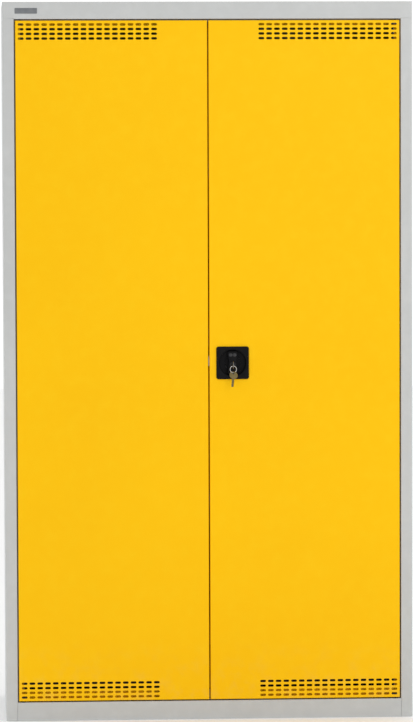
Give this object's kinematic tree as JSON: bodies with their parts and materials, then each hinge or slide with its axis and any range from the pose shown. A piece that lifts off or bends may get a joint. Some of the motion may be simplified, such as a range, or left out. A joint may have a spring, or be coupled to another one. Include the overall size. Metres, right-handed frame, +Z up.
{
  "type": "flammable storage cabinet",
  "caption": "Tall free-standing sheet metal storage cabinet with two ventilated wing doors, tray shelves, a sump and a key-locked three-point turning handle.",
  "frame": {"origin": "bottom centre of the carcass, on the floor", "axes": "+X to the viewer's right, the doors face -Y, +Z up"},
  "size_m": [1.1, 0.5378, 1.935],
  "materials": {
    "body_grey": "light grey powder coat, fine orange peel",
    "door_yellow": "signal yellow powder coat, fine orange peel",
    "galvanised": "galvanised sheet with spangle",
    "zinc_plated": "bright zinc plating",
    "black_plastic": "fine grained black",
    "pale_nylon": "natural nylon",
    "dark_nylon": "dark nylon",
    "rubber": "soft black",
    "black_metal": "black finished steel",
    "nickel": "nickel plated, handled",
    "brass": "machined brass, handled",
    "plate_grey": "plain dark plate, blank"
  },
  "bodies": {
    "cabinet": {"side_panel_left": "body_grey", "side_panel_right": "body_grey", "back_panel": "body_grey", "top_panel": "body_grey", "floor_panel": "body_grey", "top_rail": "body_grey", "bottom_rail": "body_grey", "plinth_frame": "body_grey", "upright_front_left": "galvanised", "upright_front_right": "galvanised", "upright_rear_left": "galvanised", "upright_rear_right": "galvanised", "shelf_clips": "galvanised", "tray_lower": "galvanised", "tray_middle": "galvanised", "tray_upper": "galvanised", "sump_tray": "black_metal", "pivot_bushes": "dark_nylon", "striker_plates": "zinc_plated", "door_bumpers": "rubber", "blank_nameplate": "plate_grey"},
    "left_door": {"left_door_skin": "door_yellow", "left_door_stiffener": "door_yellow", "left_door_pivots": "black_metal", "gap_cover": "door_yellow", "edge_striker": "zinc_plated"},
    "right_door": {"right_door_skin": "door_yellow", "right_door_stiffener": "door_yellow", "right_door_pivots": "black_metal", "lock_dish": "black_plastic", "lock_case": "zinc_plated", "lock_screws": "zinc_plated", "rod_guides": "pale_nylon", "bolt_guide": "pale_nylon"},
    "handle": {"lock_grip": "black_plastic", "lock_pinion": "zinc_plated", "lock_barrel": "black_metal"},
    "upper_rod": {"upper_rod": "zinc_plated"},
    "lower_rod": {"lower_rod": "zinc_plated"},
    "side_bolt": {"side_bolt": "zinc_plated"},
    "key_plug": {"lock_plug": "black_metal"},
    "key": {"main_key": "nickel"},
    "split_ring": {"key_ring": "nickel"},
    "second_key": {"spare_key": "brass"}
  },
  "joints": [
    {"name": "left_door_hinge", "type": "hinge", "parent": "cabinet", "child": "left_door", "pos_m": [-0.504, -0.244, 0.97], "axis": [0, 0, -1], "range_deg": [0, 110]},
    {"name": "right_door_hinge", "type": "hinge", "parent": "cabinet", "child": "right_door", "pos_m": [0.504, -0.244, 0.97], "axis": [0, 0, 1], "range_deg": [0, 110]},
    {"name": "handle_turn", "type": "hinge", "parent": "right_door", "child": "handle", "pos_m": [0.064, -0.25, 0.965], "axis": [0, -1, 0], "range_deg": [0, 90]},
    {"name": "upper_rod_slide", "type": "slide", "parent": "right_door", "child": "upper_rod", "axis": [0, 0, 1], "range_m": [0, 0.01884]},
    {"name": "lower_rod_slide", "type": "slide", "parent": "right_door", "child": "lower_rod", "axis": [0, 0, -1], "range_m": [0, 0.01886]},
    {"name": "side_bolt_slide", "type": "slide", "parent": "right_door", "child": "side_bolt", "axis": [-1, 0, 0], "range_m": [0, 0.01886]},
    {"name": "key_turn", "type": "hinge", "parent": "handle", "child": "key_plug", "pos_m": [0.064, -0.257, 0.96], "axis": [0, 1, 0], "range_deg": [0, 90]},
    {"name": "key_pull", "type": "slide", "parent": "key_plug", "child": "key", "axis": [0, -1, 0], "range_m": [0, 0.026]},
    {"name": "key_ring_swing", "type": "hinge", "parent": "key", "child": "split_ring", "pos_m": [0.064, -0.2795, 0.9581], "axis": [0, 1, 0], "range_deg": [-12, 12]},
    {"name": "spare_key_swing", "type": "hinge", "parent": "split_ring", "child": "second_key", "pos_m": [0.064, -0.2795, 0.9401], "axis": [0.5736, 0.8192, 0], "range_deg": [-15, 15]}
  ],
  "couplings": [
    {"joint": "handle_turn", "follows": "upper_rod_slide", "rad_per_m": 83.333},
    {"joint": "lower_rod_slide", "follows": "upper_rod_slide", "ratio": 1},
    {"joint": "side_bolt_slide", "follows": "upper_rod_slide", "ratio": 1}
  ]
}
